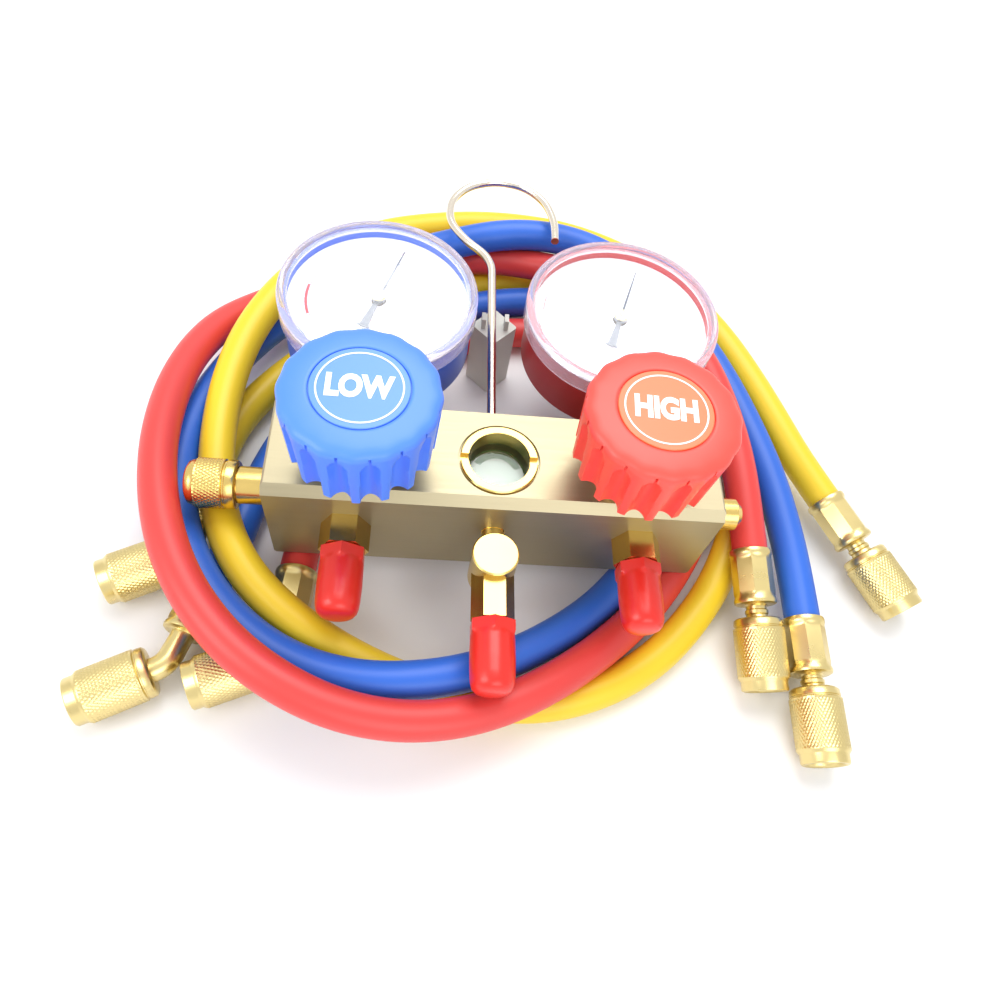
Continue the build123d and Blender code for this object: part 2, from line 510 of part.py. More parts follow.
def movement_pieces(x):
    pivot_y = -MODULE * (PINION_TEETH + SECTOR_TEETH) / 2
    gear_z = PLATE_Z + PLATE_T + PLATE_GAP / 2
    top_plate_z = PLATE_Z + PLATE_T + PLATE_GAP

    plates = slab(-PLATE_W / 2, PLATE_W / 2, SOCKET_Y, PLATE_TOP_Y, PLATE_Z, PLATE_Z + PLATE_T)
    plates += Pos(0, 0, PLATE_T + PLATE_GAP) * plates
    for post_x, post_y in ((-POST_X, POST_Y), (POST_X, POST_Y), (0, LOW_POST_Y)):
        plates += rod(at_z(post_x, post_y, 0), POST_R, PLATE_GAP, PLATE_Z + PLATE_T)
    plates -= rod(at_z(0, 0, 0), ARBOR_R + RUN_GAP, 2 * PLATE_T + PLATE_GAP, PLATE_Z)
    plates -= rod(at_z(0, pivot_y, 0), SECTOR_ARBOR_R + RUN_GAP, 2 * PLATE_T + PLATE_GAP, PLATE_Z)

    pitch = 360 / SECTOR_TEETH
    first = int(SECTOR_SPAN[0] / pitch)
    last = int(SECTOR_SPAN[1] / pitch)
    teeth = gear_outline(SECTOR_TEETH, 0.7, 1.5, first, last)
    rim_r = MODULE * SECTOR_TEETH / 2 - 1.5 * MODULE - SECTOR_RIM
    ends = [radians(pitch * (last - 0.5)), radians(pitch * (first - 0.5))]
    inner = [(rim_r * cos(a), rim_r * sin(a)) for a in
             [ends[0] + (ends[1] - ends[0]) * i / 12 for i in range(13)]]
    fan = extrude(at_z(0, 0, gear_z - SECTOR_T / 2) * make_face(Polyline(*teeth, *inner, close=True)), SECTOR_T)
    arm = [(0, 0), (rim_r * 1.06 * cos(ends[0]), rim_r * 1.06 * sin(ends[0]))]
    arm += [(rim_r * 1.06 * cos(a), rim_r * 1.06 * sin(a)) for a in
            [ends[0] + (ends[1] - ends[0]) * i / 6 for i in range(1, 7)]]
    web = extrude(at_z(0, 0, gear_z - SECTOR_T / 2) * make_face(Polyline(*arm, close=True)), SECTOR_T)
    middle = (ends[0] + ends[1]) / 2
    web -= rod(at_z(0.62 * rim_r * cos(middle), 0.62 * rim_r * sin(middle), 0), 0.2 * rim_r, 60)
    sector = fan + web + rod(at_z(0, 0, 0), SECTOR_HUB_R, PLATE_GAP - 2 * FACE_GAP, PLATE_Z + PLATE_T + FACE_GAP)
    sector += rod(at_z(0, 0, 0), SECTOR_ARBOR_R, 2 * PLATE_T + PLATE_GAP, PLATE_Z)

    # The sector has a tooth on the line of centres, so the pinion has a gap there.
    pinion_face = make_face(Polyline(*gear_outline(PINION_TEETH, 1.0, 1.3), close=True))
    pinion = extrude(at_z(0, 0, gear_z - PINION_T / 2) * (Rot(0, 0, -90 + 180 / PINION_TEETH) * pinion_face), PINION_T)
    pinion += rod(at_z(0, 0, 0), ARBOR_R, POINTER_HUB_TOP_Z - PLATE_Z, PLATE_Z)
    blade = make_face(Polyline((-POINTER_TAIL, -POINTER_TAIL_W / 2), (0, -POINTER_W / 2), (POINTER_L, -POINTER_TIP_W / 2),
                               (POINTER_L, POINTER_TIP_W / 2), (0, POINTER_W / 2), (-POINTER_TAIL, POINTER_TAIL_W / 2),
                               close=True))
    pointer = extrude(at_z(0, 0, POINTER_Z) * (Rot(0, 0, POINTER_ZERO) * blade), POINTER_T)
    pointer += rod(at_z(0, 0, 0), POINTER_HUB_R, POINTER_HUB_TOP_Z - POINTER_Z, POINTER_Z)
    pointer += pinion
    place = Pos(x, GAUGE_Y, 0)
    return {"movement_plates": place * plates, "sector_gear": place * Pos(0, pivot_y, 0) * sector,
            "pointer": place * pointer}


# ---- gauge housing ----
def gauge_pieces(x):
    axis = at_z(x, GAUGE_Y, 0)
    case = rod(axis, CASE_R, DIAL_Z + CASE_LIP_H - CASE_BACK_Z, CASE_BACK_Z)
    case = fillet(case.edges().sort_by(Axis.Z)[0], 1.5)
    case -= rod(axis, CASE_R - CASE_WALL, DIAL_Z - CASE_BACK_Z - CASE_BACK_T, CASE_BACK_Z + CASE_BACK_T)
    case -= rod(axis, DIAL_R + FIT_GAP, CASE_LIP_H, DIAL_Z)
    stem_axis = Plane(origin=(x, HALF_W, STEM_Z), z_dir=(0, 1, 0))
    case -= rod(stem_axis, STEM_R + FIT_GAP, GAUGE_Y - HALF_W + SOCKET_Y)

    window_top_z = COVER_TOP_Z - COVER_RIM_H
    window_z = window_top_z - WINDOW_T
    skirt_z = DIAL_Z + CASE_LIP_H
    cover = rod(axis, COVER_R, COVER_TOP_Z - COVER_SKIRT_Z, COVER_SKIRT_Z)
    cover = fillet(cover.edges().sort_by(Axis.Z)[-1], 0.7)
    cover -= rod(axis, CASE_R + FIT_GAP, skirt_z - COVER_SKIRT_Z, COVER_SKIRT_Z)
    cover -= rod(axis, DIAL_R, window_z - skirt_z, skirt_z)
    cover -= rod(axis, COVER_R - COVER_RIM_W, COVER_RIM_H, window_top_z)

    dial = rod(axis, DIAL_R, DIAL_T, DIAL_Z) - rod(axis, POINTER_HUB_R, DIAL_T, DIAL_Z)

    tube_plane = at_z(x, GAUGE_Y, CASE_BACK_Z + CASE_BACK_T + 1.5)
    ring = Circle(TUBE_RING_R + TUBE_RING_W / 2) - Circle(TUBE_RING_R - TUBE_RING_W / 2)
    gap = Pos(-TUBE_RING_R, -TUBE_RING_R) * Rectangle(2 * TUBE_RING_R, 2 * TUBE_RING_R)
    tube = extrude(tube_plane * (ring - gap), TUBE_RING_H)

    inside_y = GAUGE_Y + SOCKET_Y
    socket = rod(stem_axis, STEM_R, inside_y - HALF_W)
    socket += rod(stem_axis, STEM_SEAT_R, STEM_SEAT_DEPTH, -STEM_SEAT_DEPTH)
    socket += rod(stem_axis, STEM_FLANGE_R, STEM_FLANGE_L)
    wall_y = GAUGE_Y - sqrt((CASE_R - CASE_WALL) ** 2 - (SOCKET_W / 2) ** 2) + FACE_GAP
    socket += slab(x - SOCKET_W / 2, x + SOCKET_W / 2, wall_y, inside_y, CASE_BACK_Z + CASE_BACK_T, SOCKET_TOP_Z)
    socket += slab(x - SOCKET_W / 2, x + SOCKET_W / 2, wall_y, GAUGE_Y + SOCKET_SHELF_Y, CASE_BACK_Z + CASE_BACK_T,
                   PLATE_Z)
    socket -= tube
    socket -= rod(stem_axis, FLARE_BORE_R / 2, inside_y - HALF_W + STEM_SEAT_DEPTH - 1.0, -STEM_SEAT_DEPTH)
    pieces = {"gauge_case": case, "gauge_cover": cover, "gauge_dial": dial, "gauge_socket": socket,
              "bourdon_tube": tube}
    pieces.update(movement_pieces(x))
    return pieces


for side_name, side in (("low", -1), ("high", 1)):
    for name, shape in gauge_pieces(side * GAUGE_X).items():
        parts[f"{side_name}_{name}"] = shape


# ---- rest block ----
def rest_block():
    half_diagonal = REST_SIDE / sqrt(2)
    centre = (REST_CORNER[0], REST_CORNER[1] + half_diagonal, FLOOR_Z)
    block = extrude(at_z(*centre) * (Rot(0, 0, 45) * Rectangle(REST_SIDE, REST_SIDE)), REST_H)
    block = fillet(block.edges().filter_by(Axis.Z), 1.0)
    for tab_x in (-REST_TAB_X, REST_TAB_X):
        tab = at_z(centre[0] + tab_x, centre[1], FLOOR_Z + REST_H)
        block += extrude(tab * Rectangle(REST_TAB_W, REST_TAB_L), REST_TAB_H)
    return block


parts["rest_block"] = rest_block()


# ---- hoses ----
def hose_path(name, route):
    """Straight runs joined by tangent arcs."""
    points = [Vector(px, py, FLOOR_Z + height) for px, py, height in route]
    radii = bend_radii(points)
    path = FilletPolyline(*points, radius=radii)
    print(f"{name}: length {path.length:.0f}, tightest arc {min(radii):.0f} at point {radii.index(min(radii)) + 1}")
    return points, path


def ferrule(plane):
    """Crimped sleeve that takes the hose's end at the plane."""
    crimp = plane * RegularPolygon(FERRULE_CRIMP_AF / 2, 8, major_radius=False)
    sleeve = extrude(crimp, FERRULE_L) + rod(plane, FERRULE_FLANGE_R, FERRULE_FLANGE_L)
    return sleeve + rod(plane, FERRULE_FLANGE_R, FERRULE_FLANGE_L, FERRULE_L - FERRULE_FLANGE_L)


def swivel_seat(plane, start):
    """Flare seat and nipple at the end of the neck, inside the nut; start is the nut's back."""
    inside = start + NUT_BACK_T + FACE_GAP
    seat = rod(plane, FLARE_SEAT_R, FLARE_SEAT_L, inside)
    return seat + rod(plane, NIPPLE_R, NIPPLE_L, inside + FLARE_SEAT_L)


def swivel_nut(plane, start):
    nut = chamfer(rod(plane, NUT_R, NUT_L - NUT_RIM_L, start).edges(), 1.0)
    nut += rod(plane, NUT_RIM_R, NUT_RIM_L, start + NUT_L - NUT_RIM_L)
    nut -= rod(plane, NECK_R + RUN_GAP, NUT_BACK_T, start)
    nut -= rod(plane, NUT_RELIEF_R, NUT_RELIEF_L, start + NUT_BACK_T)
    nut -= rod(plane, NUT_THREAD_R, NUT_L - NUT_BACK_T, start + NUT_BACK_T)
    return nut - cone(plane, NUT_THREAD_R, NUT_MOUTH_R, NUT_MOUTH_L, start + NUT_L - NUT_MOUTH_L)


def hose_pieces(name, route, nut_heading):
    points, path = hose_path(name, route)
    start = (points[1] - points[0]).normalized()
    finish = (points[-1] - points[-2]).normalized()
    tube = sweep(Plane(origin=points[0], z_dir=start) * Circle(HOSE_D / 2), path=path)

    straight = Plane(origin=points[0], z_dir=-start)
    nut_back = FERRULE_L + STRAIGHT_NECK_L
    straight_end = ferrule(straight)
    straight_end += rod(straight, NECK_R, STRAIGHT_NECK_L + NUT_BACK_T + FACE_GAP, FERRULE_L)
    straight_end += swivel_seat(straight, nut_back)
    straight_end -= rod(straight, NIPPLE_BORE_R, NUT_L + nut_back)

    sleeve = Plane(origin=points[-1], z_dir=finish)
    elbow = points[-1] + finish * (FERRULE_L + BENT_NECK_L)
    out = Plane(origin=elbow, z_dir=(cos(radians(nut_heading)), sin(radians(nut_heading)), 0))
    bent_end = ferrule(sleeve) + rod(sleeve, NECK_R, BENT_NECK_L, FERRULE_L) + Pos(elbow) * Sphere(NECK_R)
    bent_end += rod(out, NECK_R, BENT_REACH + NUT_BACK_T + FACE_GAP)
    bent_end += swivel_seat(out, BENT_REACH)
    bent_end -= rod(sleeve, NIPPLE_BORE_R, FERRULE_L + BENT_NECK_L)
    bent_end -= rod(out, NIPPLE_BORE_R, BENT_REACH + NUT_L)
    return {
        f"{name}_hose_tube": tube,
        f"{name}_straight_end": straight_end,
        f"{name}_straight_nut": swivel_nut(straight, nut_back),
        f"{name}_bent_end": bent_end,
        f"{name}_bent_nut": swivel_nut(out, BENT_REACH),
    }


for hose_name, hose_route in (("yellow", YELLOW_ROUTE), ("blue", BLUE_ROUTE), ("red", RED_ROUTE)):
    parts.update(hose_pieces(hose_name, hose_route, BENT_NUT_HEADINGS[hose_name]))

os.makedirs("parts", exist_ok=True)
for node, shape in parts.items():
    export_step(shape, f"parts/{node}.step")
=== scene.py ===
# %% [markdown]
# A refrigerant manifold gauge set lies on a bench: a brass valve block with two hand knobs, two
# pressure gauges, a hanging hook and three hoses coiled under it. The CAD model gives every piece its
# true size and place. This script dresses that model: it loads it as the frame, sets up the camera,
# lays the hoses along smooth splines, gives each piece its finish, and models the small forms that
# the CAD model keeps plain, such as knurling, dial print and moulded ribs.

from math import cos, pi, radians, sin, tau

import bmesh
import bpy
import numpy as np
from mathutils import Matrix, Vector


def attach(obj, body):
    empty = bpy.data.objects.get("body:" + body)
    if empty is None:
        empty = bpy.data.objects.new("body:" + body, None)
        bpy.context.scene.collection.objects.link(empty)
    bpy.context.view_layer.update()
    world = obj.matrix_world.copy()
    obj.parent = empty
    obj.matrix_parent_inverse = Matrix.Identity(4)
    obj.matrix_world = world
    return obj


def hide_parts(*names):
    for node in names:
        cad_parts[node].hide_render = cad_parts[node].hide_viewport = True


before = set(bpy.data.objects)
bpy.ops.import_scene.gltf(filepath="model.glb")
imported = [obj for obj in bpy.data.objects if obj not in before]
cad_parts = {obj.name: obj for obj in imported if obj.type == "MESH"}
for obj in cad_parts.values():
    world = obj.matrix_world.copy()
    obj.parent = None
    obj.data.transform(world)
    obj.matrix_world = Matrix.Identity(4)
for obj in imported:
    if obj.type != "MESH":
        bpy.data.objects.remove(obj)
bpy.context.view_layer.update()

# %% [markdown]
# The camera comes first, because every later choice is judged through it. It was worked out from the
# block's edges and the round rims: a lens of medium width, held above and in front of the set and
# turned by a few degrees. A camera's matrix holds its right, up and backward directions as columns.

# %% Camera
MM = 0.001
RIGHT = Vector((0.99404, 0.005625, 0.108867))
DOWN = Vector((0.060275, -0.860483, -0.505902))
FORWARD = Vector((0.090832, 0.509449, -0.855694))
EYE = Vector((-26.2, -140.9, 252.6)) * MM

camera_data = bpy.data.cameras.new("camera")
camera_data.sensor_width = 36.0
camera_data.lens = 28.561
camera_data.shift_x = 0.0123
camera_data.shift_y = -0.003
camera_data.clip_start = 0.01
camera = bpy.data.objects.new("camera", camera_data)
turn = Matrix((RIGHT, -DOWN, -FORWARD)).transposed()
camera.matrix_world = Matrix.Translation(EYE) @ turn.to_4x4()
bpy.context.scene.collection.objects.link(camera)
bpy.context.scene.camera = camera
print("camera at", [round(c, 3) for c in camera.location])

# %% [markdown]
# The light is soft and even, as in a light tent. A large lamp above and behind gives the long soft
# highlights on the hoses and metal, a second from the left fills the fronts, and the world adds the
# rest. The floor is pale and keeps the shadows. Camera, glossy and transmission rays that miss
# everything see plain white, so that metal and clear plastic have something bright to show.

# %% Light and floor
def area_lamp(name, place, aim, size, power):
    """A square soft lamp of the given size in metres, pointed at aim."""
    data = bpy.data.lights.new(name, "AREA")
    data.size = size
    data.energy = power
    lamp = bpy.data.objects.new(name, data)
    lamp.location = place
    lamp.rotation_euler = (Vector(place) - Vector(aim)).to_track_quat("Z", "Y").to_euler()
    bpy.context.scene.collection.objects.link(lamp)
    return lamp


area_lamp("lamp_top", (0.1, 0.5, 1.0), (0.0, 0.05, 0.0), 0.8, 9.0)
area_lamp("lamp_left", (-0.8, -0.35, 0.7), (0.0, 0.0, 0.0), 0.6, 5.0)
area_lamp("lamp_front", (0.3, -0.9, 0.6), (0.0, 0.0, 0.0), 0.7, 4.0)

world = bpy.data.worlds.new("studio")
bpy.context.scene.world = world
world.use_nodes = True
wn, wl = world.node_tree.nodes, world.node_tree.links
path = wn.new("ShaderNodeLightPath")
seen = wn.new("ShaderNodeMath")
seen.operation = "MAXIMUM"
through = wn.new("ShaderNodeMath")
through.operation = "MAXIMUM"
wl.new(path.outputs["Is Camera Ray"], seen.inputs[0])
wl.new(path.outputs["Is Transmission Ray"], seen.inputs[1])
wl.new(seen.outputs[0], through.inputs[0])
wl.new(path.outputs["Is Glossy Ray"], through.inputs[1])
tint = wn.new("ShaderNodeMix")
tint.data_type = "RGBA"
tint.inputs["A"].default_value = (0.62, 0.63, 0.65, 1)
tint.inputs["B"].default_value = (1, 1, 1, 1)
wl.new(through.outputs[0], tint.inputs["Factor"])
wl.new(tint.outputs["Result"], wn["Background"].inputs["Color"])
wn["Background"].inputs["Strength"].default_value = 1.0

# %% [markdown]
# A hose is one smooth line with a round section. The points below are the control points of its
# route, in millimetres from the middle of the block's back, which is 14 mm above the bench. A NURBS
# spline of order 3 through them bends evenly, as rubber does, and never kinks.

# %% Hose routes
BENCH = -14.0
HOSE_D = 12.5
ROUTES = {
    "yellow": [
        (134, 18, 13), (125.7, 33.9, 14.5), (118, 52, 17), (109.5, 72, 19), (99.5, 92.5, 20.5),
        (87.5, 112, 20), (73, 129, 19), (55.5, 142.5, 17.5), (35.5, 151.5, 16.5), (14.5, 154.5, 16),
        (-6.5, 152.5, 17), (-27.5, 146, 19), (-46.5, 136, 22), (-63.5, 122, 24.5), (-77.5, 105.5, 26.5),
        (-88, 87, 26.5), (-95, 67, 26), (-98.5, 45.5, 24), (-98.5, 23, 22), (-95.5, 2, 21.5),
        (-88.5, -17.5, 22.5), (-77.5, -33.5, 23.5), (-62.5, -46, 22), (-45, -55, 16.5), (-24.5, -61.5, 10.5),
        (-3, -65.5, 7.5), (19, -66, 6.5), (39.5, -60.5, 6.5), (58.5, -50, 6.5), (75, -34, 6.5),
        (89, -14.5, 6.5), (99, 7.5, 6.5), (106, 30.5, 6.5), (108.5, 53, 6.5), (107, 73.5, 6.5),
        (101, 91.5, 6.5), (91, 106.5, 6.5), (76.5, 118, 6.5), (59.5, 126, 6.5), (40, 130, 6.5),
        (19, 130, 6.5), (-3, 125.5, 6.5), (-25, 116.5, 6.5), (-46, 102.5, 6.5), (-65.5, 84.5, 6.5),
        (-83.5, 64, 6.5), (-95.5, 45, 6.5), (-100.7, 26, 7.15), (-101.4, 14, 7.6),
    ],
    "blue": [
        (114.5, -33, 13), (114.5, -15.1, 14.5), (113, 4, 16.5), (110, 24.5, 18.5), (104.5, 45.5, 20),
        (97, 67, 22), (87, 87.5, 24), (74, 105.5, 26.5), (58.5, 119.5, 29.5), (41, 128, 32),
        (22.5, 130, 34), (4, 128.5, 33.8), (-14.5, 125.5, 30), (-33, 121.5, 25.5), (-51, 114.5, 20),
        (-68, 104.5, 15), (-84, 91.5, 12.5), (-97, 74.5, 12), (-106, 54, 13.5), (-110.5, 31.5, 17),
        (-110, 8.5, 20.5), (-104.5, -13.5, 23), (-94.5, -33, 25), (-80.5, -49, 25.5), (-62.5, -60.5, 25.5),
        (-42.5, -65.5, 25), (-21.5, -64.5, 23.5), (-0.5, -58.5, 20), (19, -47.5, 15), (37, -34, 10.5),
        (52, -18, 7), (64, -0.5, 6.5), (72.5, 17, 7.5), (77, 34.5, 10.5), (78, 51.5, 15),
        (75, 67.5, 18), (68.5, 82, 19.5), (59.5, 94.5, 19), (47.5, 104, 17), (32.5, 110.5, 14),
        (15.5, 112.5, 11.5), (-3, 110.5, 9), (-21, 103.5, 8), (-38.5, 91.5, 7), (-55, 74.5, 6.5),
        (-69, 54, 6.5), (-79.5, 30, 6.5), (-86, 6, 7), (-89.8, -14.5, 7.15), (-93.9, -27.9, 7.6),
    ],
    "red": [
        (96, -10, 20), (95.3, 7.5, 24), (94, 25.5, 27.5), (91, 44, 30), (86, 62, 32),
        (78.5, 79, 32.5), (68.5, 93.5, 31.5), (55, 105.5, 30), (39, 115.5, 27), (22, 122.5, 23.5),
        (3, 127.5, 20.5), (-16.5, 129, 16.5), (-37, 128, 12.5), (-57, 123, 9.5), (-76.5, 113.5, 8),
        (-94, 100.5, 10.2), (-107, 82, 17.4), (-114, 61, 23), (-116, 38, 28.5), (-114.5, 14.5, 33),
        (-110, -7.5, 36), (-102.5, -28, 37.5), (-92, -45.5, 38), (-78.5, -60, 37.5), (-62.5, -70.5, 35.5),
        (-44.5, -77, 31.5), (-24, -78.5, 27), (-2.5, -74.2, 22.8), (19, -64, 20.4), (41, -47.5, 14),
        (61.5, -27.5, 8.3), (78, -3.5, 6.5), (88, 20, 6.5), (90.5, 41.5, 6.5), (86.5, 60, 6.5),
        (77, 76, 6.5), (62.5, 88.5, 6.5), (44.5, 96.5, 6.5), (24, 99.5, 6.5), (3.5, 97.5, 6.5),
        (-15.5, 89, 6.5), (-32, 74, 6.5), (-45, 54, 6.5), (-55, 31, 6.5), (-61.5, 8.5, 7),
        (-65, -10.1, 7.15), (-65.8, -22.1, 7.6),
    ],
}


def hose(name, route):
    """A round tube on one NURBS spline whose control points are the route."""
    curve = bpy.data.curves.new(name, "CURVE")
    curve.dimensions = "3D"
    spline = curve.splines.new("NURBS")
    spline.points.add(len(route) - 1)
    spline.points.foreach_set("co", [c for x, y, h in route for c in (x * MM, y * MM, (h + BENCH) * MM, 1.0)])
    spline.order_u = 3
    spline.use_endpoint_u = True
    spline.resolution_u = 10
    curve.bevel_depth = HOSE_D / 2 * MM
    curve.bevel_resolution = 7
    curve.use_fill_caps = True
    piece = bpy.data.objects.new(name, curve)
    bpy.context.scene.collection.objects.link(piece)
    return piece


def curve_length(piece):
    """Length of the spline's own line, read from the curve without its section."""
    curve = piece.data
    depth, curve.bevel_depth = curve.bevel_depth, 0.0
    line = bpy.data.meshes.new_from_object(piece.evaluated_get(bpy.context.evaluated_depsgraph_get()))
    curve.bevel_depth = depth
    points = np.empty(len(line.vertices) * 3)
    line.vertices.foreach_get("co", points)
    bpy.data.meshes.remove(line)
    return float(np.linalg.norm(np.diff(points.reshape(-1, 3), axis=0), axis=1).sum())


hoses = {}
for colour, route in ROUTES.items():
    piece = hose(f"{colour}_hose", route)
    hoses[colour] = piece
    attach(piece, "manifold")
    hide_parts(f"{colour}_hose_tube")
    x, y, h = route[0]
    print(colour, "hose", round(curve_length(piece), 3), "m")

# %% [markdown]
# The other new pieces are shells: arrays of points on a grid, with the quads that join them. A shell
# is a plain pair (points, quads), so that turned, bent and flat forms can be placed, joined and
# finished by the same few helpers. All sizes are in millimetres until the mesh is made.

# %% Shells
def grid_quads(rows, cols, wrap_rows, wrap_cols):
    """Corner numbers of the quads between neighbours on a grid; a wrapped side meets its start."""
    i, j = np.meshgrid(np.arange(rows - (not wrap_rows)), np.arange(cols - (not wrap_cols)), indexing="ij")
    i, j = i.ravel(), j.ravel()
    i2, j2 = (i + 1) % rows, (j + 1) % cols
    return np.stack([i * cols + j, i2 * cols + j, i2 * cols + j2, i * cols + j2], axis=1)


def turned(profile, sides=96, ripple=None, closed=False):
    """Surface of revolution: each (radius, height) of the profile goes round the Z axis.

    ripple(angle, radius, height) gives what is added to the radius there.
    """
    r, z = np.asarray(profile, float).T
    angle = np.linspace(0, tau, sides, endpoint=False)
    a, rr = np.meshgrid(angle, r, indexing="ij")
    zz = np.broadcast_to(z, rr.shape)
    if ripple is not None:
        rr = rr + ripple(a, rr, zz)
    points = np.stack([rr * np.cos(a), rr * np.sin(a), zz], axis=-1).reshape(-1, 3)
    return points, grid_quads(sides, len(r), True, closed)


def dense(profile, step):
    """The same profile with points added along its edges, no further apart than step."""
    out = [profile[0]]
    for (r0, z0), (r1, z1) in zip(profile, profile[1:]):
        n = max(1, int(np.ceil(np.hypot(r1 - r0, z1 - z0) / step)))
        out += [(r0 + (r1 - r0) * k / n, z0 + (z1 - z0) * k / n) for k in range(1, n + 1)]
    return out


def placed(shell, origin, axis=(0, 0, 1), spin=0.0):
    """The shell with its Z axis laid along axis and its origin moved; spin turns it about Z first."""
    points, quads = shell
    turn = (Vector(axis).to_track_quat("Z", "Y").to_matrix() @ Matrix.Rotation(radians(spin), 3, "Z"))
    return points @ np.array(turn).T + np.array(origin, float), quads


def joined(*shells):
    """Several shells as one."""
    start = np.cumsum([0] + [len(p) for p, _ in shells[:-1]])
    return np.concatenate([p for p, _ in shells]), np.concatenate([q + s for s, (_, q) in zip(start, shells)])


def make(name, shell, finish, body, crease=35, stands_for=()):
    """A mesh object in metres from a shell: doubles merged, faces turned outwards, smooth but for
    edges sharper than crease degrees. It rides on body and stands for the named CAD nodes."""
    points, quads = shell
    mesh = bpy.data.meshes.new(name)
    mesh.from_pydata((points * MM).tolist(), [], quads.tolist())
    work = bmesh.new()
    work.from_mesh(mesh)
    bmesh.ops.remove_doubles(work, verts=work.verts, dist=1e-6)
    bmesh.ops.dissolve_degenerate(work, edges=work.edges, dist=1e-7)
    bmesh.ops.recalc_face_normals(work, faces=work.faces)
    work.to_mesh(mesh)
    work.free()
    mesh.polygons.foreach_set("use_smooth", [True] * len(mesh.polygons))
    mesh.set_sharp_from_angle(angle=radians(crease))
    mesh.materials.append(finish)
    piece = bpy.data.objects.new(name, mesh)
    bpy.context.scene.collection.objects.link(piece)
    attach(piece, body)
    if stands_for:
        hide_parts(*stands_for)
    return piece


print("shell helpers ready")

# %% [markdown]
# Most finishes differ only in numbers. Two node groups hold what they share. `mottle` breaks a plain
# colour and gloss with soft blotches and fine grain, as moulded plastic, rubber and paint have.
# `brushed` stretches its noise along one axis, as a belt or a lathe tool leaves it. Both read Object
# coordinates, so that the pattern stays on the piece.

# %% Shared node groups
def new_group(name, inputs):
    """An empty shader group with float or colour inputs and Colour, Roughness and Normal outputs."""
    group = bpy.data.node_groups.new(name, "ShaderNodeTree")
    for label, kind, value in inputs:
        socket = group.interface.new_socket(name=label, in_out="INPUT", socket_type=kind)
        socket.default_value = value
    for label, kind in (("Colour", "NodeSocketColor"), ("Roughness", "NodeSocketFloat"),
                        ("Normal", "NodeSocketVector")):
        group.interface.new_socket(name=label, in_out="OUTPUT", socket_type=kind)
    return group, group.nodes.new("NodeGroupInput"), group.nodes.new("NodeGroupOutput")


def noise(group, vector, scale, detail):
    """A noise texture read at vector; scale is a number or an output socket."""
    node = group.nodes.new("ShaderNodeTexNoise")
    node.inputs["Detail"].default_value = detail
    group.links.new(vector, node.inputs["Vector"])
    if isinstance(scale, (int, float)):
        node.inputs["Scale"].default_value = scale
    else:
        group.links.new(scale, node.inputs["Scale"])
    return node.outputs["Fac"]


def math_node(group, operation, a, b):
    """One Math node; a and b are numbers or output sockets."""
    node = group.nodes.new("ShaderNodeMath")
    node.operation = operation
    for socket, value in zip(node.inputs, (a, b)):
        if isinstance(value, (int, float)):
            socket.default_value = value
        else:
            group.links.new(value, socket)
    return node.outputs[0]


def fill_outputs(group, given, out, blotch, height):
    """Colour and roughness vary with blotch about their inputs; height feeds a bump for the normal."""
    centred = math_node(group, "SUBTRACT", blotch, 0.5)
    gain = math_node(group, "ADD", 1.0, math_node(group, "MULTIPLY", centred, given.outputs["Variation"]))
    tone = group.nodes.new("ShaderNodeVectorMath")
    tone.operation = "SCALE"
    group.links.new(given.outputs["Colour"], tone.inputs[0])
    group.links.new(gain, tone.inputs["Scale"])
    group.links.new(tone.outputs[0], out.inputs["Colour"])
    rough = math_node(group, "MULTIPLY", centred, given.outputs["Gloss Variation"])
    group.links.new(math_node(group, "ADD", given.outputs["Roughness"], rough), out.inputs["Roughness"])
    bump = group.nodes.new("ShaderNodeBump")
    bump.inputs["Distance"].default_value = 0.0002
    group.links.new(given.outputs["Bump"], bump.inputs["Strength"])
    group.links.new(height, bump.inputs["Height"])
    group.links.new(bump.outputs["Normal"], out.inputs["Normal"])


COMMON_INPUTS = [("Colour", "NodeSocketColor", (0.5, 0.5, 0.5, 1)), ("Roughness", "NodeSocketFloat", 0.4),
                 ("Variation", "NodeSocketFloat", 0.1), ("Gloss Variation", "NodeSocketFloat", 0.1),
                 ("Bump", "NodeSocketFloat", 0.1), ("Scale", "NodeSocketFloat", 60.0)]

mottle, given, out = new_group("mottle", COMMON_INPUTS)
place = mottle.nodes.new("ShaderNodeTexCoord").outputs["Object"]
grain_scale = math_node(mottle, "MULTIPLY", given.outputs["Scale"], 30.0)
fill_outputs(mottle, given, out, noise(mottle, place, given.outputs["Scale"], 3.0),
             noise(mottle, place, grain_scale, 2.0))

brushed, given, out = new_group("brushed", COMMON_INPUTS + [("Stretch", "NodeSocketVector", (1, 1, 1))])
place = brushed.nodes.new("ShaderNodeTexCoord").outputs["Object"]
stretch = brushed.nodes.new("ShaderNodeVectorMath")
stretch.operation = "MULTIPLY"
brushed.links.new(place, stretch.inputs[0])
brushed.links.new(given.outputs["Stretch"], stretch.inputs[1])
lines = noise(brushed, stretch.outputs[0], given.outputs["Scale"], 4.0)
fill_outputs(brushed, given, out, lines, lines)
print("node groups:", [g.name for g in bpy.data.node_groups])


# %% Material maker
def srgb(r, g, b):
    """Linear colour from 0-255 display values."""
    v = np.array([r, g, b]) / 255
    v = np.where(v <= 0.04045, v / 12.92, ((v + 0.055) / 1.055) ** 2.4)
    return (*[float(c) for c in v], 1.0)


